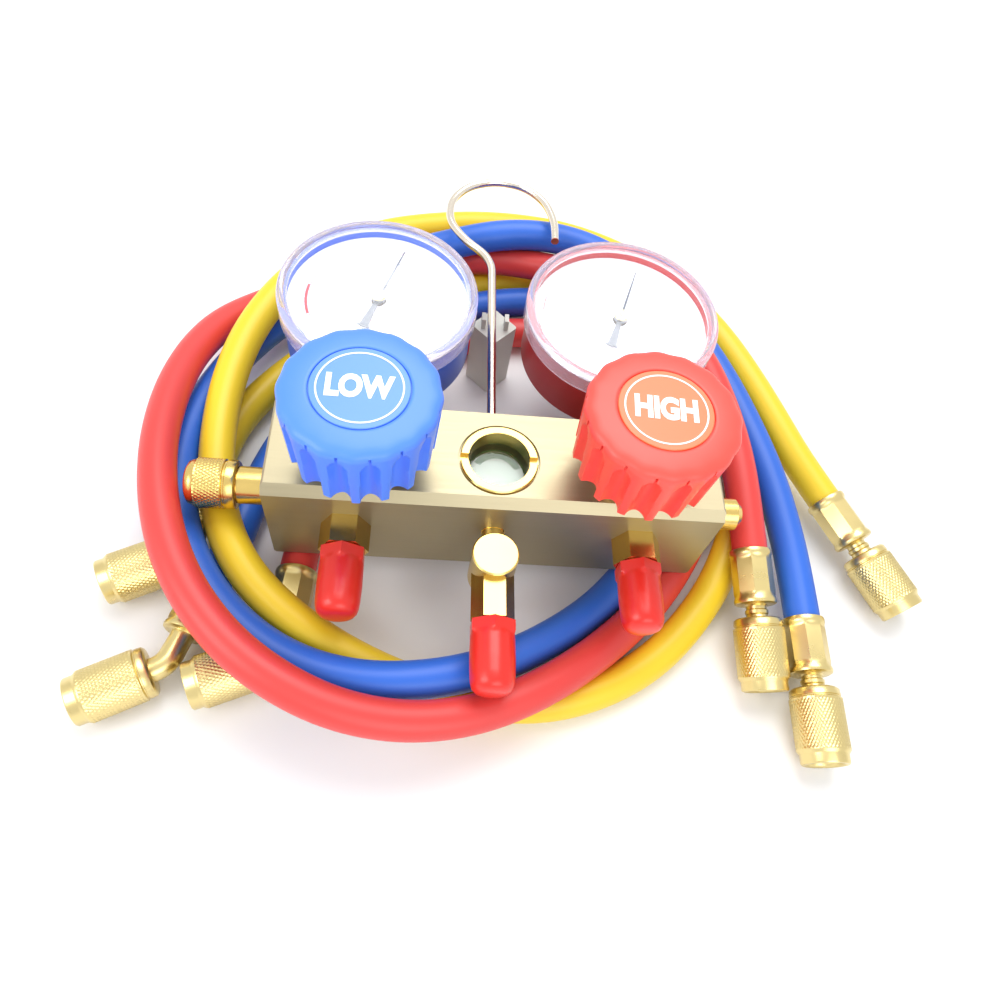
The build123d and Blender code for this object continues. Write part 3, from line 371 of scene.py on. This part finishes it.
def finish_of(name, group, colour, roughness, variation=0.08, gloss=0.1, bump=0.1, scale=60.0, stretch=None,
              **shader):
    """A Principled material whose colour, roughness and normal come from a shared group."""
    material = bpy.data.materials.new(name)
    material.use_nodes = True
    tree = material.node_tree
    node = tree.nodes.new("ShaderNodeGroup")
    node.node_tree = group
    node.inputs["Colour"].default_value = colour
    node.inputs["Roughness"].default_value = roughness
    node.inputs["Variation"].default_value = variation
    node.inputs["Gloss Variation"].default_value = gloss
    node.inputs["Bump"].default_value = bump
    node.inputs["Scale"].default_value = scale
    if stretch is not None:
        node.inputs["Stretch"].default_value = stretch
    principled = tree.nodes["Principled BSDF"]
    tree.links.new(node.outputs["Colour"], principled.inputs["Base Color"])
    tree.links.new(node.outputs["Roughness"], principled.inputs["Roughness"])
    tree.links.new(node.outputs["Normal"], principled.inputs["Normal"])
    for socket, value in shader.items():
        principled.inputs[socket.replace("_", " ")].default_value = value
    return material


# %% [markdown]
# Each finish below is one line: its display colour, its gloss, and how uneven it is. The block is
# nickel-toned brass brushed along its length; the fittings are bare turned brass; knobs, cases and
# hoses are plastics and rubber, with a little broad unevenness and a fine moulded grain.

# %% Finishes
ALONG_X = (1.0, 40.0, 40.0)
FINISHES = {
    "block": finish_of("block_metal", brushed, srgb(168, 158, 128), 0.38, 0.16, 0.18, 0.10, 26.0, ALONG_X,
                       Metallic=0.75),
    "brass": finish_of("turned_brass", mottle, srgb(226, 196, 118), 0.24, 0.10, 0.14, 0.05, 90.0,
                       Metallic=1.0),
    "pale_brass": finish_of("fitting_brass", mottle, srgb(224, 204, 142), 0.30, 0.12, 0.16, 0.06, 110.0,
                            Metallic=1.0),
    "steel": finish_of("steel", mottle, srgb(190, 190, 190), 0.3, 0.08, 0.1, 0.05, 90.0, Metallic=1.0),
    "plated": finish_of("plated_wire", mottle, srgb(232, 222, 206), 0.16, 0.06, 0.08, 0.03, 90.0,
                        Metallic=1.0),
    "blue_knob": finish_of("blue_knob", mottle, srgb(84, 140, 255), 0.38, 0.05, 0.08, 0.06, 70.0),
    "red_knob": finish_of("red_knob", mottle, srgb(255, 84, 72), 0.38, 0.05, 0.08, 0.06, 70.0),
    "blue_label": finish_of("blue_label", mottle, srgb(90, 146, 255), 0.3, 0.03, 0.05, 0.02, 70.0),
    "red_label": finish_of("red_label", mottle, srgb(255, 120, 70), 0.3, 0.03, 0.05, 0.02, 70.0),
    "white_ink": finish_of("white_ink", mottle, srgb(250, 250, 250), 0.4, 0.02, 0.05, 0.02, 70.0),
    "vinyl": finish_of("red_vinyl", mottle, srgb(226, 44, 34), 0.3, 0.06, 0.1, 0.05, 60.0),
    "blue_case": finish_of("blue_case", mottle, srgb(52, 92, 196), 0.3, 0.05, 0.08, 0.04, 60.0),
    "red_case": finish_of("red_case", mottle, srgb(172, 38, 40), 0.3, 0.05, 0.08, 0.04, 60.0),
    "dial": finish_of("dial_white", mottle, srgb(248, 248, 250), 0.5, 0.015, 0.05, 0.02, 60.0),
    "pointer": finish_of("pointer_grey", mottle, srgb(84, 92, 100), 0.4, 0.06, 0.08, 0.03, 90.0),
    "gasket": finish_of("green_gasket", mottle, srgb(60, 110, 60), 0.6, 0.1, 0.1, 0.1, 90.0),
    "rest": finish_of("grey_plastic", mottle, srgb(214, 214, 204), 0.45, 0.08, 0.1, 0.06, 50.0),
    "yellow_hose": finish_of("yellow_rubber", mottle, srgb(240, 206, 44), 0.42, 0.07, 0.1, 0.07, 30.0),
    "blue_hose": finish_of("blue_rubber", mottle, srgb(44, 104, 208), 0.42, 0.07, 0.1, 0.07, 30.0),
    "red_hose": finish_of("red_rubber", mottle, srgb(222, 66, 62), 0.42, 0.07, 0.1, 0.07, 30.0),
    "clear": finish_of("clear_cover", mottle, srgb(250, 250, 255), 0.04, 0.01, 0.01, 0.01, 40.0,
                       Transmission_Weight=1.0, IOR=1.45),
    "glass": finish_of("sight_glass", mottle, srgb(225, 235, 230), 0.05, 0.02, 0.01, 0.01, 40.0,
                       Transmission_Weight=1.0, IOR=1.5),
}
for colour, piece in hoses.items():
    piece.data.materials.append(FINISHES[f"{colour}_hose"])
print(len(FINISHES), "finishes")

# %% CAD pieces that keep their own shape
KEPT = {
    "block": ["manifold_body"],
    "brass": ["low_valve_bonnet", "high_valve_bonnet", "sight_glass_ring", "hook_bush", "low_port",
              "high_port",
              "centre_port", "left_end_stub", "right_end_stub", "low_gauge_socket",
              "high_gauge_socket", "low_movement_plates", "high_movement_plates", "low_sector_gear",
              "high_sector_gear", "low_bourdon_tube", "high_bourdon_tube", "low_piston", "high_piston"],
    "steel": ["low_spindle", "high_spindle", "low_knob_screw", "high_knob_screw"],
    "plated": ["hook"],
    "blue_case": ["low_gauge_case"],
    "red_case": ["high_gauge_case"],
    "glass": ["sight_glass"],
    "gasket": ["sight_glass_gasket"],
    "dial": ["low_gauge_dial", "high_gauge_dial"],
    "rest": ["rest_block"],
}
for finish, nodes in KEPT.items():
    for node in nodes:
        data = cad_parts[node].data
        data.materials.clear()
        data.materials.append(FINISHES[finish])
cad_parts["sight_glass"].visible_shadow = False
print(sum(len(n) for n in KEPT.values()), "CAD pieces finished")

# %% [markdown]
# The knobs come first. Sixteen grooves run up each side and stop in round arches below the rim. In a
# groove the wall sinks by a share of the distance from the groove's middle, and the groove's half
# width shrinks to nothing over the arch. The label is a disc let into the top, with a white ring.

# %% Knobs
SIDES = {"low": -43.0, "high": 43.0}
VALVE_Y = -5.0
KNOB_TOP = 78.8
LOBES = 16


def flutes(angle, r, z):
    """Change of radius: arched grooves on the side, and a faint wave above them at the rim."""
    off = (angle * LOBES / tau) % 1.0 - 0.5
    across = off * r * tau / LOBES
    arch = np.clip((z - (KNOB_TOP - 8.6)) / 3.6, 0, 1)
    half = (2.45 + 0.6 * (KNOB_TOP - z) / 26) * np.sqrt(1 - arch ** 2)
    groove = 2.7 * np.clip(1 - (across / np.maximum(half, 1e-6)) ** 2, 0, None) ** 0.55
    wave = 0.22 * (1 + np.cos(tau * off)) * np.clip((r - 18.5) / 3, 0, 1)
    return -np.where(r > 20.5, np.where(z < KNOB_TOP - 3, groove, 0), 0) - np.where(r > 18, wave, 0)


KNOB_UNDER = [(0, 72.3), (4.0, 72.3), (4.0, 52.7), (8.0, 52.7), (8.0, 72.0), (16.6, 72.0), (16.6, 52.5),
              (21.2, 52.5)]
KNOB_SIDE = dense([(21.8, 52.9), (23.1, 74.6)], 0.55)
KNOB_CROWN = [(23.2, 75.6), (23.0, 76.6), (22.4, 77.4), (21.2, 78.0), (19.4, 78.4), (17.2, 78.65),
              (15.2, 78.8),
              (14.5, 78.8), (14.25, 78.6), (14.2, 78.1), (0, 78.1)]
RING = [(11.75, 78.84), (11.75, 78.94), (12.25, 78.94), (12.25, 78.84)]


def lettering(name, text, middle, width, height, spin, finish, body, depth=0.1, bold=0.0):
    """Printed words as a thin mesh: width and height are those of the letters, spin turns them about Z."""
    curve = bpy.data.curves.new(name, "FONT")
    curve.body = text
    curve.offset = bold
    curve.extrude = 0.01
    curve.resolution_u = 4
    written = bpy.data.objects.new(name, curve)
    bpy.context.scene.collection.objects.link(written)
    mesh = bpy.data.meshes.new_from_object(written.evaluated_get(bpy.context.evaluated_depsgraph_get()))
    bpy.data.objects.remove(written)
    points = np.empty(len(mesh.vertices) * 3)
    mesh.vertices.foreach_get("co", points)
    points = points.reshape(-1, 3)
    low, high = points.min(axis=0), points.max(axis=0)
    points = (points - (low + high) / 2) / (high - low) * (width, height, depth)
    c, s = cos(radians(spin)), sin(radians(spin))
    points = points @ np.array([[c, s, 0], [-s, c, 0], [0, 0, 1]]) + middle
    mesh.vertices.foreach_set("co", (points * MM).ravel())
    mesh.update()
    mesh.materials.clear()
    mesh.materials.append(FINISHES[finish])
    piece = bpy.data.objects.new(name, mesh)
    bpy.context.scene.collection.objects.link(piece)
    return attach(piece, body)


for side, colour, word, width, spin in (("low", "blue", "LOW", 19.0, 0.0),
                                        ("high", "red", "HIGH", 18.4, -3.0)):
    x, body = SIDES[side], f"{side}_knob"
    knob = turned(KNOB_UNDER + KNOB_SIDE + KNOB_CROWN, LOBES * 22, flutes)
    make(f"{side}_hand_knob", placed(knob, (x, VALVE_Y, 0)), FINISHES[f"{colour}_knob"], body, 40,
         [f"{side}_knob"])
    disc = turned([(0, 78.12), (13.95, 78.12), (13.95, 78.6), (13.75, 78.78), (11, 78.84), (0, 78.86)], 128)
    make(f"{side}_label_disc", placed(disc, (x, VALVE_Y, 0)), FINISHES[f"{colour}_label"], body, 30,
         [f"{side}_knob_label"])
    make(f"{side}_label_ring", placed(turned(RING, 128, closed=True), (x, VALVE_Y, 0)),
         FINISHES["white_ink"], body)
    lettering(f"{side}_label_word", word, (x, VALVE_Y + 0.3, 78.9), width, 8.2, spin, "white_ink", body,
              bold=0.05)
print("knobs dressed")

# %% [markdown]
# The dial print lies on the dials as bands of ink a few hundredths of a millimetre thick: arcs for
# the scales, short radial bars for the marks, and plain numbers. The scale runs clockwise through 270
# degrees from the pointer's rest.

# %% Dial print
GAUGE_Y, DIAL_TOP = 59.0, 45.5
SCALE_START, SCALE_SPAN = 252.0, 270.0


def band(inner, outer, start, end, z=DIAL_TOP, thick=0.04):
    """Part of a flat ring between two radii and two angles in degrees, with a thin closed section."""
    steps = max(2, int(abs(end - start) / 3) + 1)
    angle = np.radians(np.linspace(start, end, steps))
    r = np.array([inner, outer, outer, inner])
    h = np.array([z, z, z + thick, z + thick])
    points = np.stack([np.outer(np.cos(angle), r), np.outer(np.sin(angle), r),
                       np.broadcast_to(h, (steps, 4))], axis=-1)
    last = 4 * (steps - 1)
    ends = np.array([[3, 2, 1, 0], [last, last + 1, last + 2, last + 3]])
    return points.reshape(-1, 3), np.concatenate([grid_quads(steps, 4, False, True), ends])


def arcs(*radii, width=0.22, start=SCALE_START + 8, end=SCALE_START - SCALE_SPAN - 6):
    """Thin arcs at the given radii."""
    return joined(*[band(r - width / 2, r + width / 2, start, end) for r in radii])


def marks(inner, outer, count, width=0.2):
    """Radial bars from inner to outer, evenly spaced along the scale; width in millimetres."""
    half = np.degrees(width / 2 / outer)
    at = [SCALE_START - SCALE_SPAN * k / count for k in range(count + 1)]
    return joined(*[band(inner, outer, a - half, a + half) for a in at])


INKS = {"rose": (196, 120, 140), "ink_blue": (120, 150, 214), "red_ink": (208, 66, 66),
        "grey_ink": (150, 146, 172),
        "pale_rose": (226, 196, 214), "pale_blue": (176, 192, 230)}
for name, rgb in INKS.items():
    FINISHES[name] = finish_of(name, mottle, srgb(*rgb), 0.5, 0.02, 0.05, 0.02, 60.0)
PRINT = {
    "low": [("rose", joined(arcs(25.4), arcs(24.5, width=0.35), marks(25.4, 27.0, 15),
                            marks(25.4, 26.2, 75, 0.12))),
            ("ink_blue", joined(arcs(19.3, 16.2, 13.2, width=0.2), marks(18.5, 19.3, 30, 0.14),
                                marks(15.4, 16.2, 30, 0.14))),
            ("red_ink", joined(arcs(10.0, width=0.2), band(24.6, 25.3, 20, -12)))],
    "high": [("pale_rose", joined(arcs(24.6, 27.2, width=0.2), marks(24.6, 26.2, 10),
                                  marks(24.6, 25.4, 50, 0.12))),
             ("pale_blue", joined(arcs(19.0, 16.4, 13.0, 10.6, width=0.2), marks(18.2, 19.0, 25, 0.14),
                                  marks(12.2, 13.0, 25, 0.14))),
             ("red_ink", band(27.4, 28.0, -4, -18))],
}
NUMBERS = {"low": [0, 50, 100, 150, 200, 250], "high": [0, 100, 200, 300, 400, 500]}
for side, x in SIDES.items():
    for finish, shell in PRINT[side]:
        make(f"{side}_print_{finish}", placed(shell, (x, GAUGE_Y, 0)), FINISHES[finish], "manifold", 30)
    for k, number in enumerate(NUMBERS[side]):
        a = SCALE_START - SCALE_SPAN * k / (len(NUMBERS[side]) - 1)
        spot = (x + 22.2 * cos(radians(a)), GAUGE_Y + 22.2 * sin(radians(a)), DIAL_TOP + 0.02)
        lettering(f"{side}_number_{number}", str(number), spot, 1.25 * len(str(number)), 1.9, a - 90,
                  "grey_ink",
                  "manifold", 0.04)
print("dial print done")

# %% [markdown]
# The pointer is a thin blade with a widening tail and a small bar at its end. The cover is one clear
# moulding: a skirt, a thick rounded rim that stands above the window, and the window itself.

# %% Pointers and covers
def ribbon(stations, z0, z1):
    """A flat bar along X whose half width is given at each station (x, half width)."""
    x, w = np.asarray(stations, float).T
    across = np.stack([-w, w, w, -w], axis=1)
    height = np.broadcast_to([z0, z0, z1, z1], across.shape)
    points = np.stack([np.repeat(x[:, None], 4, axis=1), across, height], axis=-1).reshape(-1, 3)
    last = 4 * (len(x) - 1)
    ends = np.array([[3, 2, 1, 0], [last, last + 1, last + 2, last + 3]])
    return points, np.concatenate([grid_quads(len(x), 4, False, True), ends])


BLADE = [(-14.2, 2.2), (-13.3, 2.2), (-13.29, 1.55), (-2.2, 0.8), (0, 0.8), (2.5, 0.45), (24.9, 0.22)]
ARBOR = [(0, 33.6), (0.8, 33.6), (0.8, 36.65), (2.5, 36.65), (2.5, 39.15), (0.8, 39.15), (0.8, 46.3),
         (2.2, 46.3),
         (2.5, 46.6), (2.5, 47.9), (0, 47.9)]
BUTTON = [(0, 47.9), (2.6, 47.9), (2.6, 48.2), (2.35, 48.45), (0.7, 48.45), (0.6, 48.3), (0.5, 48.5),
          (0, 48.5)]
COVER = [(33.05, 43.0), (34.3, 43.0), (34.5, 43.3), (34.5, 50.5), (34.35, 51.2), (33.9, 51.75), (33.3, 51.9),
         (32.6, 51.75), (32.15, 51.35), (31.9, 50.9), (20, 51.1), (0, 51.2), (0, 49.6), (20, 49.5),
         (30.9, 49.3),
         (31.35, 48.9), (31.4, 48.05), (33.05, 48.0)]
FINISHES["rim"] = finish_of("clear_rim", mottle, srgb(246, 240, 250), 0.12, 0.02, 0.04, 0.02, 40.0,
                            Transmission_Weight=0.82, IOR=1.35)
WINDOW_R = 31.9


def window(cover, centre):
    """Clear second material on the faces nearer to the dial's axis than WINDOW_R."""
    faces = cover.data.polygons
    middles = np.empty(len(faces) * 3)
    faces.foreach_get("center", middles)
    off = middles.reshape(-1, 3)[:, :2] / MM - np.array(centre[:2])
    cover.data.materials.append(FINISHES["clear"])
    faces.foreach_set("material_index", (np.hypot(off[:, 0], off[:, 1]) < WINDOW_R).astype(np.int32))


for side, x in SIDES.items():
    centre = (x, GAUGE_Y, 0)
    blade = placed(joined(ribbon(BLADE, 46.5, 46.85)), centre, spin=SCALE_START)
    body = f"{side}_pointer"
    make(f"{side}_pointer_blade", joined(blade, placed(turned(ARBOR, 48), centre)), FINISHES["pointer"],
         body, 35,
         [f"{side}_pointer"])
    make(f"{side}_pointer_button", placed(turned(BUTTON, 48), centre), FINISHES["pale_brass"], body, 35)
    cover = make(f"{side}_cover", placed(turned(COVER, 160, closed=True), centre), FINISHES["rim"],
                 "manifold", 40,
                 [f"{side}_gauge_cover"])
    window(cover, centre)
    cover.visible_shadow = False
    tab = band(30.4, 31.3, 84, 95, 45.5, 2.6)
    make(f"{side}_cover_tab", placed(tab, centre), FINISHES["pale_rose"], "manifold", 30)
print("pointers and covers done")

# %% [markdown]
# The fittings are turned parts. A knurl is two sets of fine grooves that climb round the body in
# opposite senses, so the metal between them stands as small diamonds. Vinyl caps are barrel-shaped
# with a rounded end, and their mouths are moulded over a hexagon.

# %% Knurl and flats
def knurl(lines, low, high, beyond, depth=0.2, lead=2.0):
    """Ripple: two opposite helical sets of grooves between two heights, outside the given radius."""
    def ripple(angle, r, z):
        turn = tau * z / lead
        groove = np.maximum(np.cos(lines * angle + turn), np.cos(lines * angle - turn))
        return -depth * ((1 + groove) / 2) ** 3 * ((z > low) & (z < high) & (r > beyond))
    return ripple


def flats(count, apothem, low, high, beyond, fade=1.0):
    """Ripple: flat sides at apothem between two heights, fading into the round form beyond them."""
    def ripple(angle, r, z):
        step = tau / count
        flat = apothem / np.cos((angle + step / 2) % step - step / 2)
        share = np.clip((z - low) / fade + 1, 0, 1) * np.clip((high - z) / fade + 1, 0, 1)
        share = share * share * (3 - 2 * share)
        return np.where(r > beyond, (flat - r) * share, 0)
    return ripple


# %% Port caps and cap nut
CAP = [(0, 18.5), (5.62, 18.5), (5.62, 0), (6.7, 0)] + dense([(6.9, 0.3), (7.0, 6), (7.1, 12), (6.95, 17)],
                                                             0.5)
CAP += [(6.75, 19.0), (6.3, 20.6), (5.4, 21.7), (4.0, 22.3), (2.0, 22.5), (0, 22.5)]
END_NUT = [(0, 13.5), (5.62, 13.5), (5.62, 0), (7.5, 0), (8.1, 0.6), (8.15, 3.2), (7.75, 3.5), (7.75, 4.0)]
END_NUT += dense([(8.3, 4.3), (8.3, 13.0)], 0.3) + [(7.9, 13.3), (7.75, 14.2), (7.1, 15.6), (5.6, 16.5),
                                                    (3, 16.95), (0, 17)]
PORT_Z = 22.5
for side, x in (("low", -48.0), ("high", 48.0)):
    cap = turned(CAP, 96, flats(6, 6.7, 0, 3.2, 6.5, 2.0))
    make(f"{side}_vinyl_cap", placed(cap, (x, -27.3, PORT_Z), (0, -1, 0)), FINISHES["vinyl"], f"{side}_cap",
         35,
         [f"{side}_port_cap"])
cap = turned(CAP, 96, flats(6, 6.7, 0, 3.2, 6.5, 2.0))
make("centre_vinyl_cap", placed(cap, (0, -49.3, PORT_Z), (0, -1, 0)), FINISHES["vinyl"], "centre_cap", 35,
     ["centre_port_cap"])
nut = turned(END_NUT, 210, knurl(42, 4.6, 12.8, 8.0))
make("knurled_end_cap", placed(nut, (-84.0, VALVE_Y, PORT_Z), (-1, 0, 0)), FINISHES["brass"],
     "left_end_cap", 50,
     ["left_end_cap"])
print("caps done")

# %% [markdown]
# Each hose end is a crimped ferrule: round where it grips the hose and where it meets the neck,
# pressed to eight flats between. A straight end carries on as a neck into its swivel nut. A bent end
# turns through a tight elbow first. All of them take their place from the hose's route.

# %% Hose ends and swivel nuts
NUT = [(4.08, 0), (7.5, 0), (8.25, 0.7), (8.4, 2.7), (8.1, 2.9),
       (8.1, 3.2)] + dense([(8.75, 3.6), (8.75, 20.4)], 0.3)
NUT += [(8.5, 20.9), (8.1, 21.5), (7.9, 21.8), (7.9, 24.5), (7.5, 25), (6.6, 25), (5.6, 23.9), (5.6, 9),
        (6.2, 9),
        (6.2, 3), (4.08, 3)]
SLEEVE = [(0, 0), (6.6, 0), (7.2, 0.25), (7.4, 0.8), (7.4, 1.9), (7.15, 2.6)]
SLEEVE += dense([(6.9, 3.2), (6.75, 16.4)], 0.7) + [(6.9, 17.2), (7.3, 18.2), (7.4, 18.9), (7.2, 19.6),
                                                    (6.5, 20), (4, 20)]
NECK = [(3.5, 20.6), (3.5, 21.6), (4.0, 22.1), (4.0, 23.2), (3.6, 23.7), (4.0, 25)]
SEAT = [(4.0, 28.3), (5.0, 28.3), (5.0, 30.3), (2.4, 30.3), (2.4, 33.3), (1.5, 33.3), (1.5, 8), (0, 8)]
BENT_HEADINGS = {"yellow": 207.0, "blue": 207.0, "red": 203.0}
BENT_REACH, ELBOW, BEND_R = 4.5, 31.0, 3.6


def bent_neck(start, way_in, way_out):
    """Round neck from a ferrule's end, round a tight elbow, to the seat inside its nut.

    The line is straight, then a quadratic curve between the two directions, then straight again;
    each ring of the surface lies square to it.
    """
    corner = start + (ELBOW - 20.0) * way_in
    t = np.linspace(0, 1, 13)[:, None]
    arc = ((1 - t) ** 2 * (corner - BEND_R * way_in) + 2 * t * (1 - t) * corner
           + t ** 2 * (corner + BEND_R * way_out))
    reach = corner + BENT_REACH * way_out
    line = np.concatenate([[start, start + 2 * way_in], arc,
                           [reach + d * way_out for d in (3.3, 3.31, 5.3, 5.31, 8.3)]])
    radius = np.array([4.0, 3.9] + [4.0] * 13 + [4.0, 5.0, 5.0, 2.4, 2.4])
    tangent = np.gradient(line, axis=0)
    tangent /= np.linalg.norm(tangent, axis=1)[:, None]
    side = np.cross(tangent, (0, 0, 1))
    side /= np.linalg.norm(side, axis=1)[:, None]
    up = np.cross(side, tangent)
    a = np.linspace(0, tau, 48, endpoint=False)
    round_part = np.cos(a)[None, :, None] * side[:, None] + np.sin(a)[None, :, None] * up[:, None]
    return (line[:, None] + radius[:, None, None] * round_part).reshape(-1, 3), grid_quads(len(line), 48,
                                                                                           False, True)


def unit(v):
    """The vector at length 1."""
    return v / np.linalg.norm(v)


nut = turned(NUT, 220, knurl(44, 3.9, 20.1, 8.5), closed=True)
straight = turned(SLEEVE + NECK + SEAT, 96, flats(8, 6.6, 3.6, 16.2, 6.5, 1.2))
sleeve = turned(SLEEVE + [(0, 20)], 96, flats(8, 6.6, 3.6, 16.2, 6.5, 1.2))
for colour, route in ROUTES.items():
    line = np.array(route, float) + (0, 0, BENCH)
    begin, out = line[0], unit(line[0] - line[1])
    make(f"{colour}_straight_fitting", placed(straight, begin, out), FINISHES["pale_brass"], "manifold", 30,
         [f"{colour}_straight_end"])
    make(f"{colour}_straight_swivel", placed(nut, begin + 25 * out, out), FINISHES["pale_brass"],
         f"{colour}_straight_nut", 50, [f"{colour}_straight_nut"])
    end, way = line[-1], unit(line[-1] - line[-2])
    heading = radians(BENT_HEADINGS[colour])
    away = np.array([cos(heading), sin(heading), 0.0])
    fitting = joined(placed(sleeve, end, way), bent_neck(end + 20 * way, way, away))
    make(f"{colour}_bent_fitting", fitting, FINISHES["pale_brass"], "manifold", 30, [f"{colour}_bent_end"])
    make(f"{colour}_bent_swivel", placed(nut, end + ELBOW * way + BENT_REACH * away, away),
         FINISHES["pale_brass"],
         f"{colour}_bent_nut", 50, [f"{colour}_bent_nut"])
print("hose ends done")

# %% [markdown]
# Under the sight glass lies a pale moisture disc with a green edge on one side. The hook's cut end
# shows bare reddish metal.

# %% Sight glass disc and hook tip
FINISHES["pale_disc"] = finish_of("pale_disc", mottle, srgb(196, 198, 190), 0.5, 0.06, 0.05, 0.02, 60.0)
FINISHES["copper"] = finish_of("cut_wire", mottle, srgb(190, 110, 90), 0.4, 0.06, 0.08, 0.03, 90.0,
                               Metallic=1.0)
SIGHT = (0.0, -0.7, 0.0)
disc = turned([(0, 29.9), (8.9, 29.9), (8.9, 30.5), (0, 30.5)], 96)
make("moisture_disc", placed(disc, SIGHT), FINISHES["pale_disc"], "manifold", 30)
make("moisture_mark", placed(band(6.2, 8.6, 200, 330, 30.5, 0.05), SIGHT), FINISHES["gasket"], "manifold", 30)
tip = turned([(0, 0), (1.62, 0), (1.62, 0.4), (0, 0.4)], 32)
make("hook_tip", placed(tip, (24.4, 115.2, 30.5), (-0.02, -1, 0)), FINISHES["copper"], "hook", 30)
print("small parts done")

# %% [markdown]
# The bench is a plain pale sheet, wide enough that its edge never shows. It is stage, not part of the
# object. It is pale grey and rough, and it takes the soft shadows.

# %% Bench
def bench():
    """A flat square under the set, with a pale grey rough finish."""
    mesh = bpy.data.meshes.new("bench")
    s, z = 3.0, (BENCH - 0.05) * MM
    mesh.from_pydata([(-s, -s, z), (s, -s, z), (s, s, z), (-s, s, z)], [], [(0, 1, 2, 3)])
    sheet = bpy.data.objects.new("bench", mesh)
    bpy.context.scene.collection.objects.link(sheet)
    material = bpy.data.materials.new("bench_paper")
    material.use_nodes = True
    principled = material.node_tree.nodes["Principled BSDF"]
    principled.inputs["Base Color"].default_value = (0.92, 0.92, 0.92, 1)
    principled.inputs["Roughness"].default_value = 0.9
    principled.inputs["Specular IOR Level"].default_value = 0.1
    mesh.materials.append(material)
    return sheet


bench()

# %% Finish
bpy.context.scene.view_settings.view_transform = "Standard"
